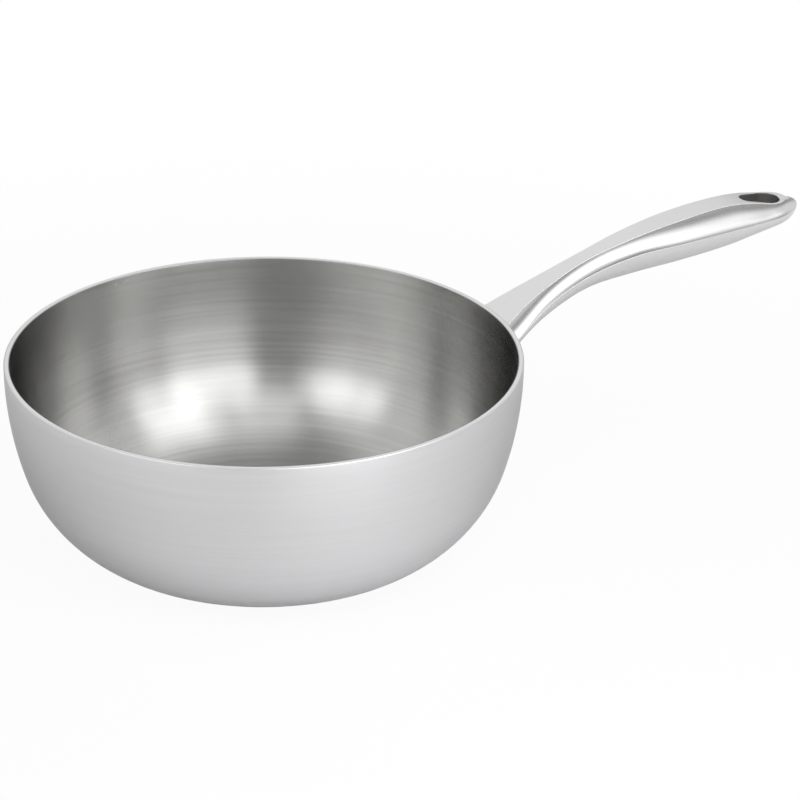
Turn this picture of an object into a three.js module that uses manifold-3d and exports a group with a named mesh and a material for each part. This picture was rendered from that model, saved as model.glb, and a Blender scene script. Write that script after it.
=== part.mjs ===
// Rounded saute pan: a bowl of three bonded metal layers and one cast handle welded to it.
// Millimetres, +Z up. The origin is the centre of the base's underside and the handle runs along +X.

import * as THREE from 'three';
import { mergeVertices } from 'three/addons/utils/BufferGeometryUtils.js';
import Module from 'manifold-3d';

// Bowl: its outside is a flat base and three tangent arcs, each swept to an angle from level.
const rimRadius = 120;
const baseEdgeRadius = 12;
const baseEdgeAngle = 14;
const bodyRadius = 68;
const shoulderAngle = 72;
const wallRadius = 160;
const rimAngle = 90;
const aroundSteps = 60;

// Layers of the bowl's sheet, from the outside in, and the seam drawn between two layers.
const outerSheet = 0.6;
const coreSheet = 1.5;
const innerSheet = 0.5;
const bondSeam = 0.02;
const outerRimRound = 0.45;
const innerRimRound = 0.25;

// Handle stations, counted outward from the rim: half widths of the flat top and of the brim,
// their heights above the rim, and how far the belly hangs under the brim.
const handleStations = [
  { out: -9, topHalf: 16.5, topRise: -10, brimHalf: 23, brimRise: -20, belly: 10 },
  { out: -2, topHalf: 14, topRise: -6, brimHalf: 19.5, brimRise: -15.2, belly: 8.5 },
  { out: 12, topHalf: 9.4, topRise: 2, brimHalf: 13.8, brimRise: -7.2, belly: 6.8 },
  { out: 28, topHalf: 6.4, topRise: 9.2, brimHalf: 10.6, brimRise: 2.5, belly: 8.4 },
  { out: 48, topHalf: 4.6, topRise: 16.8, brimHalf: 9.4, brimRise: 10.6, belly: 8.8 },
  { out: 72, topHalf: 5.8, topRise: 23.4, brimHalf: 11.2, brimRise: 16.6, belly: 11.8 },
  { out: 98, topHalf: 6.8, topRise: 28, brimHalf: 13, brimRise: 18.4, belly: 11.8 },
  { out: 126, topHalf: 6.6, topRise: 30.2, brimHalf: 13.3, brimRise: 19.8, belly: 10.3 },
  { out: 138, topHalf: 7.4, topRise: 29.2, brimHalf: 13.1, brimRise: 20.3, belly: 8.3 },
  { out: 150, topHalf: 8.2, topRise: 27, brimHalf: 12.6, brimRise: 21, belly: 6.6 },
  { out: 168, topHalf: 8.4, topRise: 26.4, brimHalf: 12.4, brimRise: 24.2, belly: 4.4 },
];
const tipCentreOut = 149.2;
const topEndOut = 159.5;
const brimEndOut = 165.2;
const flankHollow = 0.6;
const bellyFullness = 2.4;
const straightSteps = 30;
const tipSteps = 18;
const flankSteps = 4;
const bellySteps = 6;

// Hanging hole: an egg shape cut straight down, with its wide end round the tip's centre.
const holeWideRadius = 6.8;
const holeNarrowRadius = 4.8;
const holeLength = 20.4;
const holeArcSteps = 14;

// Joint of handle and bowl: the foot stands off the wall by the seat gap, and each weld nugget
// lies in a pocket of the foot.
const seatGap = 0.3;
const weldRadius = 2.5;
const weldLength = 1.6;
const weldStandOff = 0.1;
const weldClearance = 0.3;
const weldHalfSpread = 9;
const weldDrops = [10.5, 18];
const weldSides = 20;

// Finishes: the colour and roughness of each metal.
const outerFinish = { color: 0xc9c9c8, roughness: 0.34 };
const coreFinish = { color: 0xd6d7d8, roughness: 0.4 };
const innerFinish = { color: 0xbfbfbe, roughness: 0.3 };
const handleFinish = { color: 0xd0d0cf, roughness: 0.28 };
const weldFinish = { color: 0x9c9a98, roughness: 0.6 };

// Points closer than this are one point.
const mergeDistance = 1e-4;

const degree = Math.PI / 180;
const sin = (angle) => Math.sin(angle * degree);
const cos = (angle) => Math.cos(angle * degree);
const mix = THREE.MathUtils.lerp;

const wasm = await Module();
wasm.setup();

const bends = [
  { radius: baseEdgeRadius, from: 0, to: baseEdgeAngle, steps: 2 },
  { radius: bodyRadius, from: baseEdgeAngle, to: shoulderAngle, steps: 7 },
  { radius: wallRadius, from: shoulderAngle, to: rimAngle, steps: 3 },
];
const spread = bends.reduce((sum, bend) => sum + bend.radius * (sin(bend.to) - sin(bend.from)), 0);
const bowlHeight = bends.reduce((sum, bend) => sum + bend.radius * (cos(bend.from) - cos(bend.to)), 0);
const baseRadius = rimRadius - spread;

// The bowl's outline from the axis to the rim, moved inward by inset.
function bowlOutline(inset) {
  const points = [new THREE.Vector2(0, inset), new THREE.Vector2(baseRadius, inset)];
  let centreX = baseRadius;
  let centreZ = 0;
  let lastRadius = 0;
  for (const bend of bends) {
    centreX -= (bend.radius - lastRadius) * sin(bend.from);
    centreZ += (bend.radius - lastRadius) * cos(bend.from);
    lastRadius = bend.radius;
    for (let step = 1; step <= bend.steps; step += 1) {
      const angle = mix(bend.from, bend.to, step / bend.steps);
      const reach = bend.radius - inset;
      points.push(new THREE.Vector2(centreX + reach * sin(angle), centreZ - reach * cos(angle)));
    }
  }
  return points;
}

// A body of revolution about Z from a profile of (radius, height) points.
function turned(profile) {
  const geometry = new THREE.LatheGeometry(profile, aroundSteps);
  geometry.rotateX(Math.PI / 2);
  return geometry;
}

// One layer of the sheet between two insets, with its rim corners rounded where asked.
function layerGeometry(outerInset, innerInset, outerRound, innerRound) {
  const outside = bowlOutline(outerInset);
  const inside = bowlOutline(innerInset);
  const outerLip = outside.at(-1);
  const innerLip = inside.at(-1);
  const rim = [
    ...rimCorner(outerLip, outerRound, -1),
    ...rimCorner(innerLip, innerRound, 1).reverse(),
  ];
  return turned([...outside.slice(0, -1), ...rim, ...inside.slice(0, -1).reverse()]);
}

// Points of a quarter round at a rim corner, from the wall up to the flat; inward is -1 or 1 in radius.
function rimCorner(corner, round, inward) {
  if (round === 0) {
    return [corner.clone()];
  }
  return [0, 45, 90].map((angle) => new THREE.Vector2(
    corner.x + inward * round * (1 - cos(angle)),
    corner.y - round * (1 - sin(angle)),
  ));
}

// Solids for joining and cutting.
function solidFrom(geometry) {
  const bare = geometry.clone();
  bare.deleteAttribute('normal');
  bare.deleteAttribute('uv');
  const merged = mergeVertices(bare, mergeDistance);
  const corners = Array.from(merged.index.array);
  const kept = [];
  for (let first = 0; first < corners.length; first += 3) {
    const [a, b, c] = corners.slice(first, first + 3);
    if (a !== b && b !== c && c !== a) {
      kept.push(a, b, c);
    }
  }
  return new wasm.Manifold(new wasm.Mesh({
    numProp: 3,
    vertProperties: new Float32Array(merged.attributes.position.array),
    triVerts: new Uint32Array(kept),
  }));
}

function geometryFrom(solid) {
  const mesh = solid.getMesh();
  const geometry = new THREE.BufferGeometry();
  geometry.setAttribute('position', new THREE.BufferAttribute(new Float32Array(mesh.vertProperties), 3));
  geometry.setIndex(new THREE.BufferAttribute(new Uint32Array(mesh.triVerts), 1));
  geometry.computeVertexNormals();
  return geometry;
}

// Handle sizes at any distance out from the rim, eased through the stations.
const stationFields = ['topHalf', 'topRise', 'brimHalf', 'brimRise', 'belly'];
const stationCurve = new THREE.CubicInterpolant(
  handleStations.map((station) => station.out),
  handleStations.flatMap((station) => stationFields.map((field) => station[field])),
  stationFields.length,
);

function handleSizes(out) {
  const values = Array.from(stationCurve.evaluate(out));
  return Object.fromEntries(stationFields.map((field, index) => [field, values[index]]));
}

function handlePoint(out, across, rise) {
  return new THREE.Vector3(rimRadius + out, across, bowlHeight + rise);
}

// One rib of the handle's skin, from the middle of the top over the flank and brim to the keel.
// middle is where the rib starts on the centre line; topEdge and brim are its points on those lines.
function handleRib(middle, topEdge, brim) {
  const sizes = handleSizes(middle);
  const points = [handlePoint(middle, 0, sizes.topRise), topEdge];
  for (let step = 1; step <= flankSteps; step += 1) {
    const turn = 90 * step / flankSteps;
    const outward = mix(step / flankSteps, 1 - cos(turn), flankHollow);
    const down = mix(step / flankSteps, sin(turn), flankHollow);
    points.push(new THREE.Vector3(
      mix(topEdge.x, brim.x, outward),
      mix(topEdge.y, brim.y, outward),
      mix(topEdge.z, brim.z, down),
    ));
  }
  const keel = handlePoint(middle, 0, sizes.brimRise);
  for (let step = 1; step <= bellySteps; step += 1) {
    const turn = 90 * step / bellySteps;
    const outward = step < bellySteps ? cos(turn) ** (2 / bellyFullness) : 0;
    const down = sin(turn) ** (2 / bellyFullness);
    const point = keel.clone().lerp(brim, outward);
    point.z -= sizes.belly * down;
    points.push(point);
  }
  return points;
}

function straightRib(out, side) {
  const sizes = handleSizes(out);
  const topEdge = handlePoint(out, side * sizes.topHalf, sizes.topRise);
  const brim = handlePoint(out, side * sizes.brimHalf, sizes.brimRise);
  return handleRib(out, topEdge, brim);
}

function tipRib(angle) {
  const sizes = handleSizes(tipCentreOut);
  const topOut = tipCentreOut + (topEndOut - tipCentreOut) * sin(angle);
  const brimOut = tipCentreOut + (brimEndOut - tipCentreOut) * sin(angle);
  const topEdge = handlePoint(topOut, -sizes.topHalf * cos(angle), handleSizes(topOut).topRise);
  const brim = handlePoint(brimOut, -sizes.brimHalf * cos(angle), handleSizes(brimOut).brimRise);
  return handleRib(tipCentreOut, topEdge, brim);
}

// The ribs run out along one side, round the tip and back along the other side.
function handleRibs() {
  const rootOut = handleStations[0].out;
  const straight = Array.from({ length: straightSteps }, (_, step) => (
    mix(rootOut, tipCentreOut, step / straightSteps)
  ));
  const near = straight.map((out) => straightRib(out, -1));
  const far = straight.map((out) => straightRib(out, 1)).reverse();
  const tip = Array.from({ length: tipSteps + 1 }, (_, step) => tipRib(180 * step / tipSteps));
  return [...near, ...tip, ...far];
}

function handleSkin() {
  const ribs = handleRibs();
  const rows = ribs[0].length;
  const index = [];
  for (let rib = 0; rib < ribs.length; rib += 1) {
    const next = (rib + 1) % ribs.length;
    for (let row = 0; row + 1 < rows; row += 1) {
      const a = rib * rows + row;
      const b = next * rows + row;
      index.push(a, a + 1, b, b, a + 1, b + 1);
    }
  }
  const geometry = new THREE.BufferGeometry().setFromPoints(ribs.flat());
  geometry.setIndex(index);
  return geometry;
}

// The hole's cutter stands out above and below the handle by the handle's depth at the tip's centre.
function hangingHole() {
  const { topRise, brimRise, belly } = handleSizes(tipCentreOut);
  const handleDepth = topRise - brimRise + belly;
  const centreGap = holeLength - holeWideRadius - holeNarrowRadius;
  const touch = 90 + Math.asin((holeWideRadius - holeNarrowRadius) / centreGap) / degree;
  const outline = new THREE.Shape();
  outline.absarc(0, 0, holeWideRadius, -touch * degree, touch * degree, false);
  outline.absarc(-centreGap, 0, holeNarrowRadius, touch * degree, (360 - touch) * degree, false);
  const geometry = new THREE.ExtrudeGeometry(outline, {
    depth: 3 * handleDepth,
    bevelEnabled: false,
    curveSegments: holeArcSteps,
  });
  const place = handlePoint(tipCentreOut, 0, topRise - 2 * handleDepth);
  return geometry.translate(place.x, place.y, place.z);
}

// Places on the wall for the weld nuggets: a point on the outside and the direction out of the wall.
function weldPlaces() {
  const places = [];
  for (const drop of weldDrops) {
    const angle = Math.acos(drop / wallRadius) / degree;
    const radius = rimRadius - wallRadius * (1 - sin(angle));
    for (const across of [-weldHalfSpread, weldHalfSpread]) {
      const turn = Math.asin(across / radius) / degree;
      const outward = new THREE.Vector3(sin(angle) * cos(turn), sin(angle) * sin(turn), -cos(angle));
      const point = new THREE.Vector3(radius * cos(turn), across, bowlHeight - drop);
      places.push({ point, outward });
    }
  }
  return places;
}

// A round bar along the direction out of the wall, between two distances from the wall.
function barGeometry(radius, length) {
  return new THREE.CylinderGeometry(radius, radius, length, weldSides);
}

function barMatrix(place, from, to) {
  const centre = place.point.clone().addScaledVector(place.outward, (from + to) / 2);
  const turn = new THREE.Quaternion().setFromUnitVectors(new THREE.Vector3(0, 1, 0), place.outward);
  return new THREE.Matrix4().compose(centre, turn, new THREE.Vector3(1, 1, 1));
}

function weldPocket(place) {
  const depth = weldStandOff + weldLength + weldClearance;
  const geometry = barGeometry(weldRadius + weldClearance, 2 * depth);
  return geometry.applyMatrix4(barMatrix(place, -depth, depth));
}

function handleGeometry() {
  const bowlBlock = turned([...bowlOutline(-seatGap), new THREE.Vector2(0, bowlHeight)]);
  const cutters = [bowlBlock, hangingHole(), ...weldPlaces().map(weldPocket)];
  const handle = cutters.reduce(
    (solid, cutter) => solid.subtract(solidFrom(cutter)),
    solidFrom(handleSkin()),
  );
  return geometryFrom(handle);
}

function metalPiece(name, geometry, finish) {
  const piece = new THREE.Mesh(geometry, new THREE.MeshStandardMaterial({ ...finish, metalness: 1 }));
  piece.name = name;
  return piece;
}

// The layers lie one inside the next, a bond seam apart.
function bowlGroup() {
  const coreInset = outerSheet + bondSeam;
  const innerInset = coreInset + coreSheet + bondSeam;
  const outer = layerGeometry(0, outerSheet, outerRimRound, 0);
  const core = layerGeometry(coreInset, coreInset + coreSheet, 0, 0);
  const inner = layerGeometry(innerInset, innerInset + innerSheet, 0, innerRimRound);
  return new THREE.Group().add(
    metalPiece('outer_ply', outer, outerFinish),
    metalPiece('aluminium_core', core, coreFinish),
    metalPiece('inner_ply', inner, innerFinish),
  );
}

function handleGroup() {
  const group = new THREE.Group().add(metalPiece('handle', handleGeometry(), handleFinish));
  weldPlaces().forEach((place, index) => {
    const nugget = metalPiece(`weld_nugget_${index + 1}`, barGeometry(weldRadius, weldLength), weldFinish);
    nugget.applyMatrix4(barMatrix(place, weldStandOff, weldStandOff + weldLength));
    group.add(nugget);
  });
  return group;
}

const pan = new THREE.Group();
pan.add(bowlGroup(), handleGroup());

export default pan;
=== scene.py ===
"""A rounded saute pan in brushed steel, dressed over its packed solids and set on a pale floor."""

import math
from bisect import bisect_right
from typing import NamedTuple

import bmesh
import bpy
from bpy.props import FloatProperty, FloatVectorProperty, IntProperty, PointerProperty
from mathutils import Matrix, Vector


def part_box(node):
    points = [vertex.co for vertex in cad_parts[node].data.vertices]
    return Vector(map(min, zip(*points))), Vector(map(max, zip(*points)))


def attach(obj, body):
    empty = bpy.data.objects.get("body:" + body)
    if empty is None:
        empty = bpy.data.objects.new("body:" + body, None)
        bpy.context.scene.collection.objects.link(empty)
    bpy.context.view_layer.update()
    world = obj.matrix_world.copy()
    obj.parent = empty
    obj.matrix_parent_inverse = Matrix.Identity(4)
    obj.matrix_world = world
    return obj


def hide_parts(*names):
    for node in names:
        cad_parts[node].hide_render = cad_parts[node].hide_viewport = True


bl_info = {
    "name": "Rounded Saute Pan",
    "version": (1, 0, 0),
    "blender": (4, 5, 0),
    "location": "View3D > Sidebar > Saute Pan",
    "description": "Builds the clad bowl, the cast handle, the welds and a pale studio for them",
    "category": "Object",
}

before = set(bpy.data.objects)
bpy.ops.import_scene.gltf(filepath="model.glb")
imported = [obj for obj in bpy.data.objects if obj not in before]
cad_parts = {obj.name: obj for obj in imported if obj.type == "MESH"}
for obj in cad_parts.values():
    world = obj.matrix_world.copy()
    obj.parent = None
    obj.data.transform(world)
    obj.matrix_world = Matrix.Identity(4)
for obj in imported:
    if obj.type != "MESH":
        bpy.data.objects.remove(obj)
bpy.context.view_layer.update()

MM = 0.001
DEGREE = math.pi / 180
BODY = "root"
RIM_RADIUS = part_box("outer_ply")[1].x
BOWL_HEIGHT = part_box("outer_ply")[1].z
WELD_NODES = [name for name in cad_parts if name.startswith("weld_nugget")]
MERGE_DISTANCE = 1e-7
SHARP_ANGLE = 40 * DEGREE


# Handle stations in millimetres

class Station(NamedTuple):
    """Sizes of the handle at a distance out from the rim; rises are above the rim."""

    out: float
    top_half: float
    top_rise: float
    brim_half: float
    brim_rise: float
    belly: float


STATIONS = (
    Station(-9, 16.5, -10, 23, -20, 10),
    Station(-2, 14, -6, 19.5, -15.2, 8.5),
    Station(12, 9.4, 2, 13.8, -7.2, 6.8),
    Station(28, 6.4, 9.2, 10.6, 2.5, 8.4),
    Station(48, 4.6, 16.8, 9.4, 10.6, 8.8),
    Station(72, 5.8, 23.4, 11.2, 16.6, 11.8),
    Station(98, 6.8, 28, 13, 18.4, 11.8),
    Station(126, 6.6, 30.2, 13.3, 19.8, 10.3),
    Station(138, 7.4, 29.2, 13.1, 20.3, 8.3),
    Station(150, 8.2, 27, 12.6, 21, 6.6),
    Station(168, 8.4, 26.4, 12.4, 24.2, 4.4),
)
ROOT_OUT = STATIONS[0].out
FOOT_END_OUT = 18
TOP_SHARES = (0, 0.55, 1)
FLANK_STEPS = 12
BELLY_STEPS = 16
FOOT_STEPS = 10
STRAIGHT_STEPS = 48
HOLE_ROUND_STEPS = 7
HOLE_SIDE_STEPS = 5
TIP_STEPS = 16
BEVEL_STEPS = 3
SEAT_HALVINGS = 40
TOP_ROW = len(TOP_SHARES) - 1
BRIM_ROW = TOP_ROW + FLANK_STEPS
KEEL_ROW = BRIM_ROW + BELLY_STEPS
FLANK_SLOT = 1
BORE_SLOT = 2


# Sizes and colours that a user may change

def length(label, about, default):
    return FloatProperty(name=label, description=about, default=default, unit="LENGTH", precision=5)


def angle(label, about, degrees):
    return FloatProperty(name=label, description=about, default=degrees * DEGREE, subtype="ANGLE")


def share(label, about, default):
    return FloatProperty(name=label, description=about, default=default, subtype="FACTOR", min=0, max=1)


def colour(label, about, default):
    return FloatVectorProperty(
        name=label, description=about, default=default, subtype="COLOR", min=0, max=1
    )


def count(label, about, default):
    return IntProperty(name=label, description=about, default=default, min=3)


class BowlSizes(bpy.types.PropertyGroup):
    """Sizes of the clad bowl: a flat base and three tangent arcs up to the rim."""

    rim_radius: length("Rim radius", "Outside radius of the rim", RIM_RADIUS)
    base_edge_radius: length("Base edge radius", "Bend at the edge of the flat base", 12 * MM)
    base_edge_angle: angle("Base edge angle", "Slope where the base edge ends", 14)
    body_radius: length("Body radius", "Bend of the rounded body", 68 * MM)
    shoulder_angle: angle("Shoulder angle", "Slope where the body ends", 72)
    wall_radius: length("Wall radius", "Bend of the upper wall", 160 * MM)
    outer_sheet: length("Outer sheet", "Thickness of the outer steel", 0.6 * MM)
    core_sheet: length("Core sheet", "Thickness of the aluminium core", 1.5 * MM)
    inner_sheet: length("Inner sheet", "Thickness of the inner steel", 0.5 * MM)
    bond_seam: length("Bond seam", "Seam drawn between two sheets", 0.02 * MM)
    outer_round: length("Outer rim round", "Round on the rim's outer corner", 0.45 * MM)
    inner_round: length("Inner rim round", "Round on the rim's inner corner", 0.25 * MM)
    around: count("Steps around", "Steps in one turn of the bowl", 192)


class HandleSizes(bpy.types.PropertyGroup):
    """Sizes of the cast handle that its stations don't give."""

    tip_out: length("Tip centre", "Centre of the rounded tip, out from the rim", 149.2 * MM)
    top_end: length("Top end", "End of the flat top, out from the rim", 159.5 * MM)
    brim_end: length("Brim end", "End of the brim, out from the rim", 165.2 * MM)
    flank_hollow: share("Flank hollow", "How far the flank is hollowed", 0.6)
    belly_fullness: FloatProperty(name="Belly fullness", description="Roundness of the belly", default=2.4)
    hole_wide: length("Hole wide radius", "Radius of the hole's wide end", 6.8 * MM)
    hole_narrow: length("Hole narrow radius", "Radius of the hole's narrow end", 4.8 * MM)
    hole_length: length("Hole length", "Length of the hanging hole", 20.4 * MM)
    top_round: length("Top edge round", "Round along the edge of the flat top", 0.3 * MM)
    brim_round: length("Brim round", "Round along the brim", 0.2 * MM)
    hole_round: length("Hole round", "Round at the hole's edges", 0.6 * MM)
    seat_gap: length("Seat gap", "Seam between the foot and the wall", 0.1 * MM)


class FinishColours(bpy.types.PropertyGroup):
    """Colours of the metals."""

    outer_steel: colour("Outer steel", "Satin steel outside", (0.735, 0.735, 0.745))
    # The inner steel is set darker than bare steel: painted shade for the inside of the deep bowl.
    inner_steel: colour("Inner steel", "Brushed steel inside, darkened by painted shade", (0.48, 0.479, 0.469))
    core: colour("Core", "Cut edge of the aluminium core", (0.78, 0.785, 0.79))
    handle_steel: colour("Handle steel", "Satin top and belly of the handle", (0.74, 0.74, 0.74))
    flank_steel: colour("Flank steel", "Polished flanks of the handle", (0.62, 0.62, 0.62))
    # The bore's dark colour is painted shade deep in the hanging hole; only its roughness is the rough
    # casting.
    bore: colour("Bore", "Painted shade inside the hanging hole, on rough cast steel", (0.2, 0.195, 0.19))
    weld: colour("Weld", "Steel of the weld nuggets", (0.4, 0.385, 0.37))
    floor: colour("Floor", "Pale floor", (0.92, 0.92, 0.92))


class StageSettings(bpy.types.PropertyGroup):
    """Camera, lamps and surroundings."""

    camera_turn: angle("Camera turn", "Turn of the camera about the bowl's axis", -27)
    camera_rise: angle("Camera rise", "Camera's angle above the floor", 24.07)
    camera_distance: length("Camera distance", "From the rim's centre to the camera", 3.0)
    aim_right: length("Aim right", "Aim point to the right of the rim's centre", 0.0626)
    aim_down: length("Aim down", "Aim point below the rim's centre", 0.0196)
    lens: FloatProperty(name="Lens", description="Focal length", default=292.7, unit="CAMERA")
    room_grey: share("Room grey", "Brightness of the room that the metal mirrors", 0.36)
    wall_white: share("Wall white", "Brightness of the walls behind and beside the pan", 1)
    ambient: share("Ambient", "Soft light from all round on matt surfaces", 0.2)


# Meshes

def mesh_object(name, bm):
    """Turn a finished bmesh into an object at the origin, smooth but for its sharp edges."""
    for edge in bm.edges:
        edge.smooth = edge.calc_face_angle(0) < SHARP_ANGLE
    for face in bm.faces:
        face.smooth = True
    mesh = bpy.data.meshes.new(name)
    bm.to_mesh(mesh)
    bm.free()
    piece = bpy.data.objects.new(name, mesh)
    bpy.context.scene.collection.objects.link(piece)
    return piece


def spun(profile, steps):
    """A closed body of revolution about Z from (radius, height) points."""
    bm = bmesh.new()
    verts = [bm.verts.new((radius, 0, height)) for radius, height in profile]
    edges = [bm.edges.new(pair) for pair in zip(verts, verts[1:])]
    bmesh.ops.spin(
        bm, geom=verts + edges, cent=(0, 0, 0), axis=(0, 0, 1), angle=math.tau, steps=steps, use_merge=True
    )
    bmesh.ops.remove_doubles(bm, verts=bm.verts, dist=MERGE_DISTANCE)
    bmesh.ops.recalc_face_normals(bm, faces=bm.faces)
    check_closed(bm, "sheet of the bowl")
    return bm


def check_closed(bm, what):
    if any(edge.is_boundary for edge in bm.edges):
        raise RuntimeError(f"The {what} isn't closed.")


def place_piece(piece, slot, *nodes):
    """Tie a piece to the frame: its body and the solids that it stands for, which are hidden. The finish
    slot is not used.
    """
    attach(piece, BODY)
    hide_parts(*nodes)


# Bowl

BASE_RINGS = 4
BEND_STEPS = (6, 30, 12)
ROUND_STEPS = 4


def bowl_bends(sizes):
    """The three bends from the base to the rim, as radius, first slope and last slope."""
    slopes = (0, sizes.base_edge_angle, sizes.shoulder_angle, math.pi / 2)
    radii = (sizes.base_edge_radius, sizes.body_radius, sizes.wall_radius)
    return list(zip(radii, slopes, slopes[1:]))


def bowl_outline(sizes, inset):
    """Points of (radius, height) from the axis to the rim, moved inward by inset."""
    bends = bowl_bends(sizes)
    spread = sum(radius * (math.sin(last) - math.sin(first)) for radius, first, last in bends)
    base_radius = sizes.rim_radius - spread
    points = [(base_radius * ring / BASE_RINGS, inset) for ring in range(BASE_RINGS + 1)]
    centre_r, centre_z, last_radius = base_radius, 0, 0
    for (radius, first, last), steps in zip(bends, BEND_STEPS):
        centre_r -= (radius - last_radius) * math.sin(first)
        centre_z += (radius - last_radius) * math.cos(first)
        last_radius = radius
        for step in range(1, steps + 1):
            slope = first + (last - first) * step / steps
            reach = radius - inset
            points.append((centre_r + reach * math.sin(slope), centre_z - reach * math.cos(slope)))
    return points


def rim_corner(corner, radius, inward):
    """A quarter round at a rim corner, from the wall up to the flat; inward is -1 or 1 in radius."""
    if radius == 0:
        return [corner]
    turns = [math.pi / 2 * step / ROUND_STEPS for step in range(ROUND_STEPS + 1)]
    return [
        (corner[0] + inward * radius * (1 - math.cos(turn)), corner[1] - radius * (1 - math.sin(turn)))
        for turn in turns
    ]


def sheet_profile(sizes, outer_inset, inner_inset, outer_round, inner_round):
    """Closed profile of one sheet, from the axis up the outside, over the rim and down the inside."""
    outside = bowl_outline(sizes, outer_inset)
    inside = bowl_outline(sizes, inner_inset)
    over_rim = rim_corner(outside[-1], outer_round, -1) + rim_corner(inside[-1], inner_round, 1)[::-1]
    return outside[:-1] + over_rim + inside[-2::-1]


def bowl_sheet(name, slot, profile, material):
    piece = mesh_object(name, spun(profile, bpy.context.scene.pan_bowl.around))
    piece.data.materials.append(material)
    place_piece(piece, slot, name.removesuffix("_dressed"))


# Handle

def mix(first, last, part):
    return first + (last - first) * part


def secant(first, last):
    return [(b - a) / (last.out - first.out) for a, b in zip(first[1:], last[1:])]


def station_slopes(index):
    """Slope of each size at a station: the mean of the slopes on its two sides."""
    sides = []
    if index > 0:
        sides.append(secant(STATIONS[index - 1], STATIONS[index]))
    if index < len(STATIONS) - 1:
        sides.append(secant(STATIONS[index], STATIONS[index + 1]))
    return [sum(values) / len(sides) for values in zip(*sides)]


def handle_sizes(out):
    """Handle sizes at any distance out, in millimetres, eased through the stations."""
    outs = [station.out for station in STATIONS]
    index = min(max(bisect_right(outs, out) - 1, 0), len(STATIONS) - 2)
    first, last = STATIONS[index], STATIONS[index + 1]
    span = last.out - first.out
    part = (out - first.out) / span
    weights = (
        (1 + 2 * part) * (1 - part) ** 2,
        span * part * (1 - part) ** 2,
        part * part * (3 - 2 * part),
        span * part * part * (part - 1),
    )
    columns = zip(first[1:], station_slopes(index), last[1:], station_slopes(index + 1))
    return Station(out, *(sum(w * v for w, v in zip(weights, column)) for column in columns))


def handle_point(out, across, rise):
    return Vector((RIM_RADIUS + out * MM, across * MM, BOWL_HEIGHT + rise * MM))


class Section(NamedTuple):
    """Key points of one rib: hole edge or centre line, top edge, brim, and keel line at brim height."""

    inner: Vector
    top: Vector
    brim: Vector
    keel: Vector
    belly: float


def straight_section(out, hole_half=0):
    sizes = handle_sizes(out)
    return Section(
        handle_point(out, -hole_half, sizes.top_rise),
        handle_point(out, -sizes.top_half, sizes.top_rise),
        handle_point(out, -sizes.brim_half, sizes.brim_rise),
        handle_point(out, 0, sizes.brim_rise),
        sizes.belly * MM,
    )


def tip_section(handle, turn):
    """The rib at a turn round the tip, 0 at the side and a quarter turn at the end."""
    centre = handle.tip_out / MM
    sizes = handle_sizes(centre)

    def edge(reach, half, rise):
        out = centre + reach * math.sin(turn)
        return handle_point(out, -half * math.cos(turn), getattr(handle_sizes(out), rise))

    hole = handle.hole_wide / MM
    return Section(
        edge(hole, hole, "top_rise"),
        edge(handle.top_end / MM - centre, sizes.top_half, "top_rise"),
        edge(handle.brim_end / MM - centre, sizes.brim_half, "brim_rise"),
        handle_point(centre, 0, sizes.brim_rise),
        sizes.belly * MM,
    )


def section_point(handle, section, row):
    """The point of a rib on one row, counted from the middle of the top round to the keel."""
    if row <= TOP_ROW:
        return section.inner.lerp(section.top, TOP_SHARES[row])
    if row <= BRIM_ROW:
        part = (row - TOP_ROW) / FLANK_STEPS
        turn = part * math.pi / 2
        outward = mix(part, 1 - math.cos(turn), handle.flank_hollow)
        down = mix(part, math.sin(turn), handle.flank_hollow)
        point = section.top.lerp(section.brim, outward)
        point.z = mix(section.top.z, section.brim.z, down)
        return point
    return belly_point(handle, section, (row - BRIM_ROW) / BELLY_STEPS)


def belly_point(handle, section, part):
    """A point under the brim, from the brim to the keel or to the hole's lower edge."""
    power_out = 2 / handle.belly_fullness
    hole_share = (section.inner - section.keel).xy.length / (section.brim - section.keel).xy.length
    turn = part * math.acos(hole_share ** (1 / power_out))
    outward = max(math.cos(turn), 0) ** power_out
    along = (outward - hole_share) / (1 - hole_share)
    plan = section.inner.xy.lerp(section.brim.xy, along)
    drop = section.belly * math.sin(turn) ** power_out
    return Vector((plan.x, plan.y, mix(section.keel.z, section.brim.z, outward) - drop))


def wall_radius_at(bowl, height):
    """Outside radius of the bowl's upper wall at a height."""
    drop = BOWL_HEIGHT - height
    return bowl.rim_radius - bowl.wall_radius + math.sqrt(bowl.wall_radius ** 2 - drop ** 2)


def seat_out(bowl, handle, row):
    """Distance out at which a row of the handle meets the bowl's wall, found by halving."""
    low, high = ROOT_OUT, FOOT_END_OUT
    for _ in range(SEAT_HALVINGS):
        middle = (low + high) / 2
        point = section_point(handle, straight_section(middle), row)
        if point.xy.length < wall_radius_at(bowl, point.z) + handle.seat_gap:
            low = middle
        else:
            high = middle
    return high


def foot_ribs(bowl, handle):
    """Ribs from the wall to where the foot ends; each row starts where it meets the wall."""
    starts = [seat_out(bowl, handle, row) for row in range(KEEL_ROW + 1)]
    ribs = []
    for step in range(FOOT_STEPS):
        outs = [mix(start, FOOT_END_OUT, step / FOOT_STEPS) for start in starts]
        ribs.append([section_point(handle, straight_section(out), row) for row, out in enumerate(outs)])
    return ribs


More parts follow.
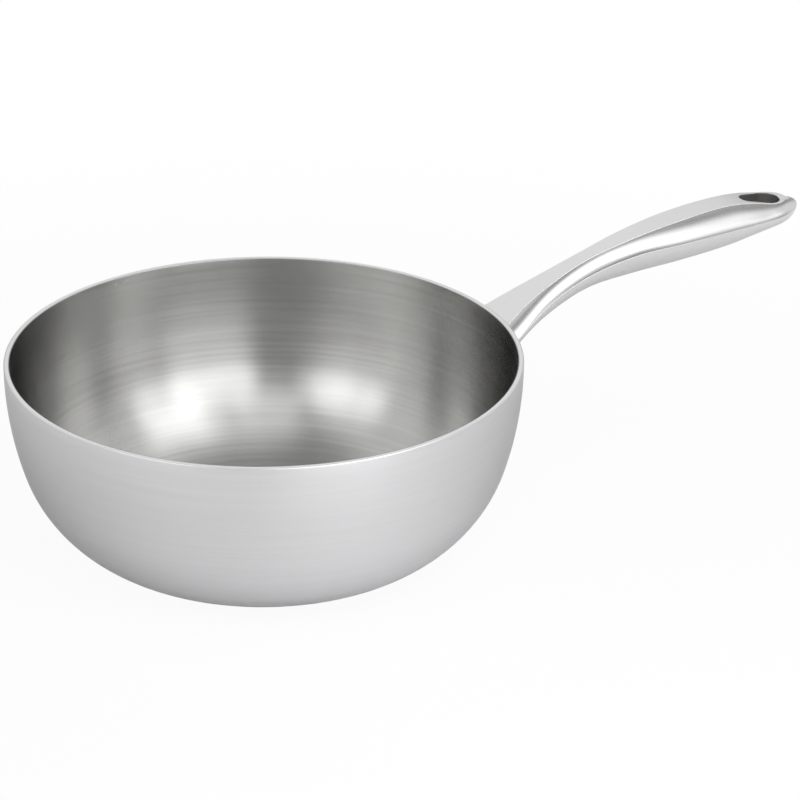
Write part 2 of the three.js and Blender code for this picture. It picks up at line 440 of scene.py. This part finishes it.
def hole_stations(handle):
    """Distances out along the hole with its half widths, from its narrow end to the tip's centre."""
    wide, narrow = handle.hole_wide / MM, handle.hole_narrow / MM
    wide_out = handle.tip_out / MM
    narrow_out = wide_out + wide + narrow - handle.hole_length / MM
    lean = math.asin((wide - narrow) / (wide_out - narrow_out))
    turns = [(math.pi / 2 - lean) * step / HOLE_ROUND_STEPS for step in range(HOLE_ROUND_STEPS + 1)]
    stations = [(narrow_out - narrow * math.cos(turn), narrow * math.sin(turn)) for turn in turns]
    first = stations[-1]
    last = (wide_out - wide * math.sin(lean), wide * math.cos(lean))
    for step in range(1, HOLE_SIDE_STEPS + 1):
        part = step / HOLE_SIDE_STEPS
        stations.append((mix(first[0], last[0], part), mix(first[1], last[1], part)))
    return stations


def handle_ribs(bowl, handle):
    """Half of the handle's skin as ribs, from the foot along one side to the end of the tip."""
    hole = hole_stations(handle)
    straight = [mix(FOOT_END_OUT, hole[0][0], step / STRAIGHT_STEPS) for step in range(STRAIGHT_STEPS)]
    sections = [straight_section(out) for out in straight]
    sections += [straight_section(out, half) for out, half in hole]
    sections += [tip_section(handle, math.pi / 2 * step / TIP_STEPS) for step in range(TIP_STEPS + 1)]
    rows = range(KEEL_ROW + 1)
    ribs = [[section_point(handle, section, row) for row in rows] for section in sections]
    return foot_ribs(bowl, handle) + ribs


def handle_skin(ribs):
    """A sheet of ribs and rows laid over half of the handle, with each point's row kept in a layer."""
    bm = bmesh.new()
    bmesh.ops.create_grid(bm, x_segments=len(ribs) - 1, y_segments=KEEL_ROW, size=1)
    row_layer = bm.verts.layers.int.new("row")
    for vert in bm.verts:
        rib = round((vert.co.x + 1) / 2 * (len(ribs) - 1))
        row = round((vert.co.y + 1) / 2 * KEEL_ROW)
        vert[row_layer] = row
        vert.co = ribs[rib][row]
    for face in bm.faces:
        rows = [vert[row_layer] for vert in face.verts]
        if min(rows) >= TOP_ROW and max(rows) <= BRIM_ROW:
            face.material_index = FLANK_SLOT
    return bm, row_layer


def close_handle(bm):
    """Mirror the half, line the hanging hole and close the foot against the wall."""
    bmesh.ops.mirror(bm, geom=bm.verts[:] + bm.edges[:] + bm.faces[:], axis="Y", merge_dist=MERGE_DISTANCE)
    bmesh.ops.remove_doubles(bm, verts=bm.verts, dist=MERGE_DISTANCE)
    open_edges = [edge for edge in bm.edges if edge.is_boundary]
    hole_start = RIM_RADIUS + FOOT_END_OUT * MM
    hole_edges = [edge for edge in open_edges if edge.verts[0].co.x > hole_start]
    foot_edges = [edge for edge in open_edges if edge.verts[0].co.x <= hole_start]
    if not hole_edges or not foot_edges:
        raise RuntimeError("The handle's skin isn't open at its hole and its foot.")
    lining = bmesh.ops.bridge_loops(bm, edges=hole_edges)
    # The hole's lining gets the bore finish, whose dark colour is painted shade.
    for face in lining["faces"]:
        face.material_index = BORE_SLOT
    bmesh.ops.triangle_fill(bm, edges=foot_edges, use_beauty=True)
    bmesh.ops.recalc_face_normals(bm, faces=bm.faces)
    check_closed(bm, "handle")


def round_edges(bm, edges, radius):
    """Round the given edges; each new face takes its neighbour's material."""
    if not edges:
        raise RuntimeError("The handle has no such edge to round.")
    bmesh.ops.bevel(
        bm, geom=edges, offset=radius, offset_type="OFFSET",
        segments=BEVEL_STEPS, profile=0.5, affect="EDGES", material=-1,
    )


def row_edges(bm, row_layer, *rows):
    return [
        edge
        for edge in bm.edges
        if all(vert[row_layer] in rows for vert in edge.verts)
        and edge.verts[0][row_layer] == edge.verts[1][row_layer]
        and edge.calc_face_angle(0) > SHARP_ANGLE / 2
        and min(vert.co.x for vert in edge.verts) > RIM_RADIUS
    ]


# Node helpers

def node(tree, kind, **settings):
    made = tree.nodes.new(kind)
    for key, value in settings.items():
        setattr(made, key, value)
    return made


def math_node(tree, operation, first, second):
    """A Math node whose inputs are sockets or numbers; returns its output."""
    made = node(tree, "ShaderNodeMath", operation=operation)
    for socket, value in zip(made.inputs, (first, second)):
        feed(tree, value, socket)
    return made.outputs[0]


def feed(tree, value, socket):
    if isinstance(value, bpy.types.NodeSocket):
        tree.links.new(value, socket)
    else:
        socket.default_value = value


def new_group(name, inputs, outputs):
    """A shader node group with float inputs, given as name and default, and float outputs."""
    tree = bpy.data.node_groups.new(name, "ShaderNodeTree")
    for label, default in inputs:
        socket = tree.interface.new_socket(label, in_out="INPUT", socket_type="NodeSocketFloat")
        socket.default_value = default
    for label in outputs:
        tree.interface.new_socket(label, in_out="OUTPUT", socket_type="NodeSocketFloat")
    return tree, node(tree, "NodeGroupInput"), node(tree, "NodeGroupOutput")


LINE_DETAIL = 3
MARK_DETAIL = 4
# How many broad bands there are for each fine line
TURNED_BANDS = 0.12
DRAWN_BANDS = 0.1


def grain_noise(tree, vector, detail):
    noise = node(tree, "ShaderNodeTexNoise", noise_dimensions="3D")
    noise.inputs["Scale"].default_value = 1
    noise.inputs["Detail"].default_value = detail
    tree.links.new(vector, noise.inputs["Vector"])
    return noise.outputs["Fac"]


def stretched_noise(tree, parts):
    """Noise drawn out into lines; parts pair each coordinate with its marks per metre."""
    spread = node(tree, "ShaderNodeCombineXYZ")
    for socket, (coordinate, per_metre) in zip(spread.inputs, parts):
        feed(tree, math_node(tree, "MULTIPLY", coordinate, per_metre), socket)
    return grain_noise(tree, spread.outputs[0], LINE_DETAIL)


def turned_grain_group():
    """Fine lines round the bowl's axis: even along the turn and close together up the wall."""
    tree, given, result = new_group(
        "Turned grain", [("Lines per metre", 2600), ("Breaks per metre", 9)], ["Lines", "Bands"]
    )
    place = node(tree, "ShaderNodeSeparateXYZ")
    tree.links.new(node(tree, "ShaderNodeTexCoord").outputs["Object"], place.inputs[0])
    flat = node(tree, "ShaderNodeCombineXYZ")
    tree.links.new(place.outputs["X"], flat.inputs["X"])
    tree.links.new(place.outputs["Y"], flat.inputs["Y"])
    reach = node(tree, "ShaderNodeVectorMath", operation="LENGTH")
    tree.links.new(flat.outputs[0], reach.inputs[0])
    along = math_node(tree, "ADD", reach.outputs["Value"], place.outputs["Z"])
    breaks = given.outputs["Breaks per metre"]
    for label, spacing in (("Lines", 1), ("Bands", TURNED_BANDS)):
        lines = math_node(tree, "MULTIPLY", given.outputs["Lines per metre"], spacing)
        grain = stretched_noise(
            tree, ((place.outputs["X"], breaks), (place.outputs["Y"], breaks), (along, lines))
        )
        tree.links.new(grain, result.inputs[label])
    return tree


def drawn_grain_group():
    """Fine lines along the handle."""
    tree, given, result = new_group(
        "Drawn grain", [("Lines per metre", 3200), ("Breaks per metre", 60)], ["Lines", "Bands"]
    )
    place = node(tree, "ShaderNodeSeparateXYZ")
    tree.links.new(node(tree, "ShaderNodeTexCoord").outputs["Object"], place.inputs[0])
    breaks = given.outputs["Breaks per metre"]
    for label, spacing in (("Lines", 1), ("Bands", DRAWN_BANDS)):
        lines = math_node(tree, "MULTIPLY", given.outputs["Lines per metre"], spacing)
        grain = stretched_noise(
            tree, ((place.outputs["X"], breaks), (place.outputs["Y"], lines), (place.outputs["Z"], lines))
        )
        tree.links.new(grain, result.inputs[label])
    return tree


def wiped_marks_group():
    """Soft cloudy marks, as a wiped steel surface has."""
    tree, given, result = new_group("Wiped marks", [("Marks per metre", 28)], ["Marks"])
    scaled = node(tree, "ShaderNodeVectorMath", operation="SCALE")
    tree.links.new(node(tree, "ShaderNodeTexCoord").outputs["Object"], scaled.inputs[0])
    tree.links.new(given.outputs["Marks per metre"], scaled.inputs["Scale"])
    tree.links.new(grain_noise(tree, scaled.outputs[0], MARK_DETAIL), result.inputs["Marks"])
    return tree


def shared_group(name, build):
    return bpy.data.node_groups.get(name) or build()


def placed_group(tree, name, build, **values):
    made = node(tree, "ShaderNodeGroup", node_tree=shared_group(name, build))
    for label, value in values.items():
        made.inputs[label.replace("_", " ").capitalize()].default_value = value
    return made


# Values between which most of a noise lies
NOISE_LOW = 0.3
NOISE_HIGH = 0.7


def spread_value(tree, value, low, high):
    """Map a noise value onto a range."""
    mapped = node(tree, "ShaderNodeMapRange")
    mapped.inputs["From Min"].default_value = NOISE_LOW
    mapped.inputs["From Max"].default_value = NOISE_HIGH
    mapped.inputs["To Min"].default_value = low
    mapped.inputs["To Max"].default_value = high
    tree.links.new(value, mapped.inputs["Value"])
    return mapped.outputs["Result"]


# Materials

FAINT_TONE = 0.012
QUARTER_TURN = 0.25
WIPED_ROUGHNESS = 0.02
GRAIN_DEPTH = 0.05 * MM


def metal_material(name, tint, grain, roughness, bump_strength, tone=FAINT_TONE):
    """Brushed metal: its lines vary tone, roughness and bump, and wiped marks vary the roughness too."""
    material = bpy.data.materials.new(name)
    material.use_nodes = True
    tree = material.node_tree
    shader = tree.nodes["Principled BSDF"]
    shader.inputs["Metallic"].default_value = 1
    lines = grain(tree)
    marks = placed_group(tree, "Wiped marks", wiped_marks_group)
    tones = node(tree, "ShaderNodeMix", data_type="RGBA", blend_type="MIX")
    tones.inputs["A"].default_value = (*[value * (1 - tone) for value in tint], 1)
    tones.inputs["B"].default_value = (*[min(value * (1 + tone), 1) for value in tint], 1)
    streaks = math_node(tree, "ADD", lines.outputs["Lines"], lines.outputs["Bands"])
    feed(tree, spread_value(tree, math_node(tree, "MULTIPLY", streaks, 0.5), 0, 1), tones.inputs["Factor"])
    tree.links.new(tones.outputs["Result"], shader.inputs["Base Color"])
    low, high = roughness
    rough = spread_value(tree, lines.outputs["Lines"], low, high)
    wiped = spread_value(tree, marks.outputs["Marks"], -WIPED_ROUGHNESS, WIPED_ROUGHNESS)
    feed(tree, math_node(tree, "ADD", rough, wiped), shader.inputs["Roughness"])
    bump = node(tree, "ShaderNodeBump")
    bump.inputs["Strength"].default_value = bump_strength
    bump.inputs["Distance"].default_value = GRAIN_DEPTH
    tree.links.new(lines.outputs["Lines"], bump.inputs["Height"])
    tree.links.new(bump.outputs["Normal"], shader.inputs["Normal"])
    return material


def set_anisotropy(material, amount):
    """Stretch the highlights across the turned lines, a quarter turn from the tangent round the axis."""
    tree = material.node_tree
    shader = tree.nodes["Principled BSDF"]
    shader.inputs["Anisotropic"].default_value = amount
    shader.inputs["Anisotropic Rotation"].default_value = QUARTER_TURN
    tangent = node(tree, "ShaderNodeTangent", direction_type="RADIAL", axis="Z")
    tree.links.new(tangent.outputs[0], shader.inputs["Tangent"])


def set_edge_tint(material, amount):
    """Dim the metal where it is seen at a glancing angle."""
    shader = material.node_tree.nodes["Principled BSDF"]
    shader.inputs["Specular Tint"].default_value = (amount, amount, amount, 1)


def turned(tree):
    return placed_group(tree, "Turned grain", turned_grain_group)


def brushed(tree):
    return placed_group(tree, "Turned grain", turned_grain_group, lines_per_metre=450, breaks_per_metre=8)


def drawn(tree):
    return placed_group(tree, "Drawn grain", drawn_grain_group)


def outer_material(colours):
    material = metal_material(
        "satin_outer_steel", colours.outer_steel, turned,
        roughness=(0.33, 0.36), bump_strength=0.02, tone=0.03,
    )
    set_anisotropy(material, 0.8)
    set_edge_tint(material, 0.8)
    return material


# Brushed steel whose colour is darkened below bare steel as painted shade inside the bowl.
def inner_material(colours):
    material = metal_material(
        "brushed_inner_steel_painted_shade", colours.inner_steel, brushed,
        roughness=(0.24, 0.26), bump_strength=0.001, tone=0.1,
    )
    set_anisotropy(material, 0.94)
    set_edge_tint(material, 0.45)
    return material


def core_material(colours):
    return metal_material("cut_aluminium", colours.core, turned, roughness=(0.3, 0.42), bump_strength=0.1)


def handle_satin(colours):
    return metal_material(
        "satin_handle_steel", colours.handle_steel, drawn, roughness=(0.34, 0.42), bump_strength=0.06
    )


def handle_polish(colours):
    return metal_material(
        "polished_handle_steel", colours.flank_steel, drawn, roughness=(0.24, 0.28), bump_strength=0.008
    )


# Painted shade: the bore's dark colour stands in for the shade deep in the hanging hole; its roughness is
# the rough casting.
def bore_shade_material(colours):
    return metal_material(
        "bore_steel_painted_shade", colours.bore, drawn, roughness=(0.5, 0.7), bump_strength=0.3, tone=0.1
    )


def weld_material(colours):
    return metal_material(
        "weld_steel", colours.weld, drawn, roughness=(0.5, 0.7), bump_strength=0.3, tone=0.2
    )


# Stage

def camera_axes(stage):
    """Unit vectors from the object to the camera, to the right and up in the picture."""
    turn, rise = stage.camera_turn, stage.camera_rise
    back = Vector((math.sin(turn) * math.cos(rise), -math.cos(turn) * math.cos(rise), math.sin(rise)))
    right = Vector((math.cos(turn), math.sin(turn), 0))
    return back, right, back.cross(right)


def add_camera(stage):
    rim_centre = Vector((0, 0, BOWL_HEIGHT))
    back, right, up = camera_axes(stage)
    place = rim_centre + back * stage.camera_distance
    aim = rim_centre + right * stage.aim_right - up * stage.aim_down
    camera = bpy.data.objects.new("camera", bpy.data.cameras.new("camera"))
    camera.data.lens = stage.lens
    camera.location = place
    camera.rotation_euler = (aim - place).to_track_quat("-Z", "Y").to_euler()
    bpy.context.scene.collection.objects.link(camera)
    bpy.context.scene.camera = camera


class SoftBox(NamedTuple):
    """A soft box: turn to the right of the camera and rise in degrees, distance and size in metres."""

    name: str
    turn: float
    rise: float
    distance: float
    width: float
    height: float
    brightness: float


# Half of a soft box's cloth in its own coordinates, and the share from its middle out that glows evenly
CLOTH_HALF = 0.5
EVEN_GLOW = 0.55

SOFT_BOXES = (
    SoftBox("key_soft_box", 30, 26, 0.45, 0.5, 0.46, 2.0),
    SoftBox("side_soft_box", 64, 38, 0.6, 0.48, 0.62, 1.15),
    SoftBox("high_soft_box", 66, 57, 1.6, 1.7, 0.9, 0.75),
    SoftBox("fill_soft_box", -45, 33, 1.6, 1.75, 1.1, 1.55),
    SoftBox("small_soft_box", -39, 33, 1.6, 0.75, 0.75, 1.0),
    SoftBox("top_soft_box", -2, 51, 0.9, 0.66, 0.6, 1.1),
    SoftBox("ceiling_soft_box", 20, 74, 1.6, 1.7, 1.1, 0.6),
)


def add_soft_box(stage, box):
    """An area lamp aimed at the rim's centre, as bright as a white card times its brightness."""
    heading = stage.camera_turn + box.turn * DEGREE
    lift = box.rise * DEGREE
    way = Vector((math.sin(heading) * math.cos(lift), -math.cos(heading) * math.cos(lift), math.sin(lift)))
    lamp = bpy.data.objects.new(box.name, bpy.data.lights.new(box.name, "AREA"))
    lamp.data.shape = "ELLIPSE"
    lamp.data.size, lamp.data.size_y = box.width, box.height
    lamp.data.energy = math.pi * (math.pi / 4 * box.width * box.height) * box.brightness
    lamp.location = Vector((0, 0, BOWL_HEIGHT)) + way * box.distance
    lamp.rotation_euler = way.to_track_quat("Z", "Y").to_euler()
    lamp.visible_camera = False
    fade_edges(lamp.data)
    bpy.context.scene.collection.objects.link(lamp)


def fade_edges(light):
    """Let the soft box's cloth glow less and less towards its edge."""
    light.use_nodes = True
    tree = light.node_tree
    across = node(tree, "ShaderNodeVectorMath", operation="DISTANCE")
    tree.links.new(node(tree, "ShaderNodeNewGeometry").outputs["Parametric"], across.inputs[0])
    across.inputs[1].default_value = (CLOTH_HALF, CLOTH_HALF, 0)
    faded = smooth_step(tree, across.outputs["Value"], CLOTH_HALF * EVEN_GLOW, CLOTH_HALF)
    feed(tree, math_node(tree, "SUBTRACT", 1, faded), tree.nodes["Emission"].inputs["Strength"])


def smooth_step(tree, value, low, high):
    mapped = node(tree, "ShaderNodeMapRange", interpolation_type="SMOOTHSTEP")
    mapped.inputs["From Min"].default_value = low
    mapped.inputs["From Max"].default_value = high
    tree.links.new(value, mapped.inputs["Value"])
    return mapped.outputs["Result"]


# Heights of a direction, as the sine of its angle, between which the white walls fade in and out
WALL_FOOT = (0.2, 0.42)
WALL_HEAD = (0.8, 0.95)
# Shares of a direction towards the camera between which the white walls fade out
CAMERA_SIDE = (0.5, 0.95)


def add_world(stage):
    """White walls behind and beside the pan in a greyer room, a plain white view and even ambient light."""
    world = bpy.data.worlds.new("studio")
    world.use_nodes = True
    bpy.context.scene.world = world
    tree = world.node_tree
    surround = tree.nodes["Background"]
    way = node(tree, "ShaderNodeTexCoord").outputs["Generated"]
    height = node(tree, "ShaderNodeSeparateXYZ")
    tree.links.new(way, height.inputs[0])
    above_floor = smooth_step(tree, height.outputs["Z"], *WALL_FOOT)
    below_ceiling = math_node(tree, "SUBTRACT", 1, smooth_step(tree, height.outputs["Z"], *WALL_HEAD))
    walls = math_node(tree, "MULTIPLY", above_floor, below_ceiling)
    to_camera = node(tree, "ShaderNodeVectorMath", operation="DOT_PRODUCT")
    to_camera.inputs[1].default_value = camera_axes(stage)[0]
    tree.links.new(way, to_camera.inputs[0])
    away = math_node(tree, "SUBTRACT", 1, smooth_step(tree, to_camera.outputs["Value"], *CAMERA_SIDE))
    tones = node(tree, "ShaderNodeMix", data_type="RGBA")
    tones.inputs["A"].default_value = (stage.room_grey, stage.room_grey, stage.room_grey, 1)
    tones.inputs["B"].default_value = (stage.wall_white, stage.wall_white, stage.wall_white, 1)
    feed(tree, math_node(tree, "MULTIPLY", walls, away), tones.inputs["Factor"])
    tree.links.new(tones.outputs["Result"], surround.inputs["Color"])
    shown = surround
    path = node(tree, "ShaderNodeLightPath")
    for ray, strength in (("Is Diffuse Ray", stage.ambient), ("Is Camera Ray", 1)):
        plain = node(tree, "ShaderNodeBackground")
        plain.inputs["Color"].default_value = (1, 1, 1, 1)
        plain.inputs["Strength"].default_value = strength
        shown = mixed_shader(tree, path.outputs[ray], shown, plain)
    tree.links.new(shown.outputs[0], tree.nodes["World Output"].inputs["Surface"])


FLOOR_HALF_WIDTH = 6
FLOOR_DROP = 0.05 * MM
FLOOR_OPENING = 58 * MM
# Share of the floor's own shading that the camera sees, and the distances between which it fades to white
SHADING_SEEN = 0.06
FADE_START = 0.1
FADE_END = 0.6


def floor_material(colours):
    """Pale floor that keeps the pan's shadow and turns to white further out.

    It is open to a view from below and under the base, so that the underside shows.
    """
    material = bpy.data.materials.new("pale_floor")
    material.use_nodes = True
    tree = material.node_tree
    shader = tree.nodes["Principled BSDF"]
    shader.inputs["Base Color"].default_value = (*colours.floor, 1)
    shader.inputs["Roughness"].default_value = 1
    shader.inputs["Specular IOR Level"].default_value = 0
    white = node(tree, "ShaderNodeEmission")
    reach = node(tree, "ShaderNodeVectorMath", operation="LENGTH")
    tree.links.new(node(tree, "ShaderNodeTexCoord").outputs["Object"], reach.inputs[0])
    path = node(tree, "ShaderNodeLightPath")
    far = smooth_step(tree, reach.outputs["Value"], FADE_START, FADE_END)
    shading = math_node(tree, "MULTIPLY", math_node(tree, "SUBTRACT", 1, far), SHADING_SEEN)
    unshaded = math_node(tree, "SUBTRACT", 1, shading)
    seen_white = math_node(tree, "MULTIPLY", path.outputs["Is Camera Ray"], unshaded)
    glossy, through = path.outputs["Is Glossy Ray"], path.outputs["Is Transmission Ray"]
    mirrored = math_node(tree, "MAXIMUM", glossy, through)
    mirrored_white = math_node(tree, "MULTIPLY", mirrored, far)
    whiteness = math_node(tree, "MAXIMUM", seen_white, mirrored_white)
    from_above = mixed_shader(tree, whiteness, shader, white)
    below = node(tree, "ShaderNodeNewGeometry").outputs["Backfacing"]
    under_base = math_node(tree, "LESS_THAN", reach.outputs["Value"], FLOOR_OPENING)
    opened = math_node(tree, "MAXIMUM", below, under_base)
    shown = mixed_shader(tree, opened, from_above, node(tree, "ShaderNodeBsdfTransparent"))
    tree.links.new(shown.outputs[0], tree.nodes["Material Output"].inputs["Surface"])
    return material


def mixed_shader(tree, part, first, second):
    """A Mix Shader node that goes from the first node's shader to the second's."""
    mixed = node(tree, "ShaderNodeMixShader")
    feed(tree, part, mixed.inputs[0])
    tree.links.new(first.outputs[0], mixed.inputs[1])
    tree.links.new(second.outputs[0], mixed.inputs[2])
    return mixed


def add_floor(colours):
    bm = bmesh.new()
    drop = Matrix.Translation((0, 0, -FLOOR_DROP))
    bmesh.ops.create_grid(bm, x_segments=2, y_segments=2, size=FLOOR_HALF_WIDTH, matrix=drop)
    floor = mesh_object("floor", bm)
    floor.data.materials.append(floor_material(colours))


# Operators

class SAUTEPAN_OT_stage(bpy.types.Operator):
    """Set up the camera, the soft boxes, the surroundings and the pale floor"""

    bl_idname = "saute_pan.stage"
    bl_label = "Stage"

    def execute(self, context):
        stage = context.scene.pan_stage
        context.scene.view_settings.view_transform = "Standard"
        add_camera(stage)
        for box in SOFT_BOXES:
            add_soft_box(stage, box)
        add_world(stage)
        add_floor(context.scene.pan_colours)
        return {"FINISHED"}


class SAUTEPAN_OT_bowl(bpy.types.Operator):
    """Turn the three bonded sheets of the bowl"""

    bl_idname = "saute_pan.bowl"
    bl_label = "Clad bowl"

    def execute(self, context):
        sizes = context.scene.pan_bowl
        colours = context.scene.pan_colours
        core_inset = sizes.outer_sheet + sizes.bond_seam
        inner_inset = core_inset + sizes.core_sheet + sizes.bond_seam
        bowl_sheet(
            "outer_ply_dressed", "outer_steel",
            sheet_profile(sizes, 0, sizes.outer_sheet, sizes.outer_round, 0), outer_material(colours),
        )
        bowl_sheet(
            "aluminium_core_dressed", "core_aluminium",
            sheet_profile(sizes, core_inset, core_inset + sizes.core_sheet, 0, 0), core_material(colours),
        )
        bowl_sheet(
            "inner_ply_dressed", "inner_steel",
            sheet_profile(sizes, inner_inset, inner_inset + sizes.inner_sheet, 0, sizes.inner_round),
            inner_material(colours),
        )
        return {"FINISHED"}


class SAUTEPAN_OT_handle(bpy.types.Operator):
    """Lay the handle's skin over its ribs, open the hanging hole and round the edges"""

    bl_idname = "saute_pan.handle"
    bl_label = "Cast handle"

    def execute(self, context):
        handle = context.scene.pan_handle
        colours = context.scene.pan_colours
        bm, row_layer = handle_skin(handle_ribs(context.scene.pan_bowl, handle))
        close_handle(bm)
        round_edges(bm, row_edges(bm, row_layer, 0, KEEL_ROW), handle.hole_round)
        round_edges(bm, row_edges(bm, row_layer, TOP_ROW), handle.top_round)
        round_edges(bm, row_edges(bm, row_layer, BRIM_ROW), handle.brim_round)
        piece = mesh_object("handle_dressed", bm)
        for material in (handle_satin(colours), handle_polish(colours), bore_shade_material(colours)):
            piece.data.materials.append(material)
        piece.modifiers.new("Even normals", "WEIGHTED_NORMAL").keep_sharp = True
        place_piece(piece, "handle_steel", "handle")
        return {"FINISHED"}


class SAUTEPAN_OT_welds(bpy.types.Operator):
    """Give the weld nuggets between foot and wall their finish"""

    bl_idname = "saute_pan.welds"
    bl_label = "Welds"

    def execute(self, context):
        if not WELD_NODES:
            raise RuntimeError("The frame has no weld nuggets.")
        material = weld_material(context.scene.pan_colours)
        for name in WELD_NODES:
            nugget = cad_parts[name]
            nugget.data.materials.clear()
            nugget.data.materials.append(material)
        return {"FINISHED"}


class SAUTEPAN_PT_sidebar(bpy.types.Panel):
    """Sizes, colours and buttons of the saute pan"""

    bl_label = "Saute Pan"
    bl_idname = "SAUTEPAN_PT_sidebar"
    bl_space_type = "VIEW_3D"
    bl_region_type = "UI"
    bl_category = "Saute Pan"

    def draw(self, context):
        for operator in OPERATORS:
            self.layout.operator(operator.bl_idname)
        for name, group in SETTINGS.items():
            box = self.layout.box()
            box.label(text=group.__doc__)
            for prop in group.__annotations__:
                box.prop(getattr(context.scene, name), prop)


SETTINGS = {
    "pan_bowl": BowlSizes,
    "pan_handle": HandleSizes,
    "pan_colours": FinishColours,
    "pan_stage": StageSettings,
}
OPERATORS = (SAUTEPAN_OT_stage, SAUTEPAN_OT_bowl, SAUTEPAN_OT_handle, SAUTEPAN_OT_welds)
CLASSES = (*SETTINGS.values(), *OPERATORS, SAUTEPAN_PT_sidebar)


def register():
    for cls in CLASSES:
        bpy.utils.register_class(cls)
    for name, group in SETTINGS.items():
        setattr(bpy.types.Scene, name, PointerProperty(type=group))


def unregister():
    for name in SETTINGS:
        delattr(bpy.types.Scene, name)
    for cls in reversed(CLASSES):
        bpy.utils.unregister_class(cls)


def main():
    register()
    bpy.ops.saute_pan.stage()
    bpy.ops.saute_pan.bowl()
    bpy.ops.saute_pan.handle()
    bpy.ops.saute_pan.welds()


if __name__ == "__main__":
    main()
